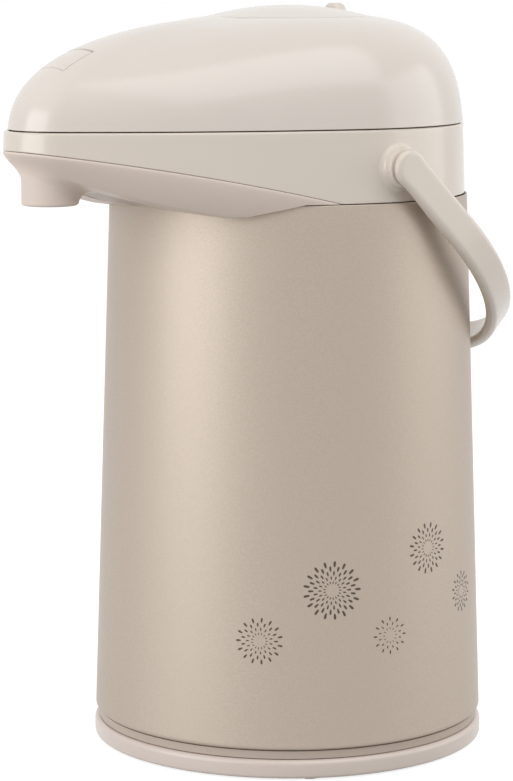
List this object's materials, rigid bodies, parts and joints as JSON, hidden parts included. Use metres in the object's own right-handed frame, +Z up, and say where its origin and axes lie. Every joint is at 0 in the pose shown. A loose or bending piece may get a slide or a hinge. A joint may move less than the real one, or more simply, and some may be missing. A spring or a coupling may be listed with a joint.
{
  "type": "air pot",
  "caption": "Air pot with a glass-lined metal body, a nose spout, a push-plate pump in the hinged lid, a swing-over handle and a turning base.",
  "frame": {"origin": "on the body axis at the level the base stands on", "axes": "+Z up along the body axis, -Y towards the spout, +X and -X through the handle pivots"},
  "size_m": [0.1788, 0.244, 0.3354],
  "materials": {
    "case_metal": "satin metallic champagne lacquer",
    "head_plastic": "glossy warm beige moulded plastic",
    "lower_plastic": "satin beige moulded plastic",
    "base_plastic": "glossy beige moulded plastic",
    "inner_plastic": "plain moulded plastic",
    "food_plastic": "food-grade plastic",
    "steel": "plain steel",
    "silver_glass": "silvered double glass",
    "rubber_dark": "black rubber",
    "rubber_light": "pale silicone rubber"
  },
  "bodies": {
    "pot": {"outer_case": "case_metal", "shoulder_housing": "head_plastic", "spout_panel": "head_plastic", "spout_bottom_plate": "lower_plastic", "bottom_cover": "lower_plastic", "bottom_ring": "steel", "bottom_screws": "steel", "turntable_retainer": "steel", "retainer_screw": "steel", "top_deck": "inner_plastic", "deck_screws": "steel", "mouth_collar": "inner_plastic", "collar_screws": "steel", "neck_gasket": "rubber_light", "glass_inner": "silver_glass", "glass_outer": "silver_glass", "liner_cushion": "rubber_dark", "tip_cap": "rubber_dark", "tube_holder": "food_plastic", "elbow_seal": "rubber_dark", "spout_pipe": "food_plastic", "siphon_tube": "steel", "tube_foot": "food_plastic", "valve_cage": "food_plastic", "hinge_bracket": "lower_plastic", "hinge_screws": "steel", "hinge_pin": "steel"},
    "turntable": {"turntable_ring": "base_plastic", "hub_cap": "base_plastic", "feet": "rubber_dark"},
    "ball": {"stop_ball": "steel"},
    "handle": {"handle_bail": "head_plastic", "handle_washers": "steel", "handle_screws": "steel"},
    "lid": {"lid_cover": "head_plastic", "lid_base": "inner_plastic", "lid_screws": "steel", "lid_gasket": "rubber_light", "latch_pin": "steel", "bellows": "rubber_light", "return_spring": "steel"},
    "latch": {"lid_latch": "head_plastic"},
    "outflow": {"outlet_valve": "rubber_dark"},
    "press": {"push_plate": "head_plastic", "plunger": "inner_plastic"},
    "inflow": {"intake_valve": "rubber_dark"},
    "lock": {"lock_knob": "head_plastic"}
  },
  "joints": [
    {"name": "base_turn", "type": "hinge", "parent": "pot", "child": "turntable", "pos_m": [0, 0, 0], "axis": [0, 0, 1], "continuous": true},
    {"name": "handle_swing", "type": "hinge", "parent": "pot", "child": "handle", "pos_m": [0, 0, 0.2658], "axis": [1, 0, 0], "range_deg": [0, 150]},
    {"name": "lid_hinge", "type": "hinge", "parent": "pot", "child": "lid", "pos_m": [0, 0.0846, 0.283], "axis": [-1, 0, 0], "range_deg": [0, 85]},
    {"name": "push", "type": "slide", "parent": "lid", "child": "press", "axis": [0, 0, -1], "range_m": [0, 0.02], "stiffness_N_per_m": 900, "springref_m": -0.006, "deforming": ["bellows", "return_spring"]},
    {"name": "lock_slide", "type": "slide", "parent": "press", "child": "lock", "axis": [0, -1, 0], "range_m": [0, 0.004]},
    {"name": "latch_press", "type": "hinge", "parent": "lid", "child": "latch", "pos_m": [0, -0.127, 0.3025], "axis": [-1, 0, 0], "range_deg": [0, 5.4], "stiffness_Nm_per_rad": 0.4, "springref_deg": -5.73},
    {"name": "outflow_lift", "type": "slide", "parent": "lid", "child": "outflow", "axis": [0, 0, -1], "range_m": [0, 0.0015], "stiffness_N_per_m": 60, "springref_m": -0.002},
    {"name": "inflow_lift", "type": "slide", "parent": "press", "child": "inflow", "axis": [0, 0, -1], "range_m": [0, 0.0012], "stiffness_N_per_m": 60, "springref_m": -0.002},
    {"name": "ball_lift", "type": "slide", "parent": "pot", "child": "ball", "axis": [0, 0, 1], "range_m": [0, 0.0062]}
  ]
}
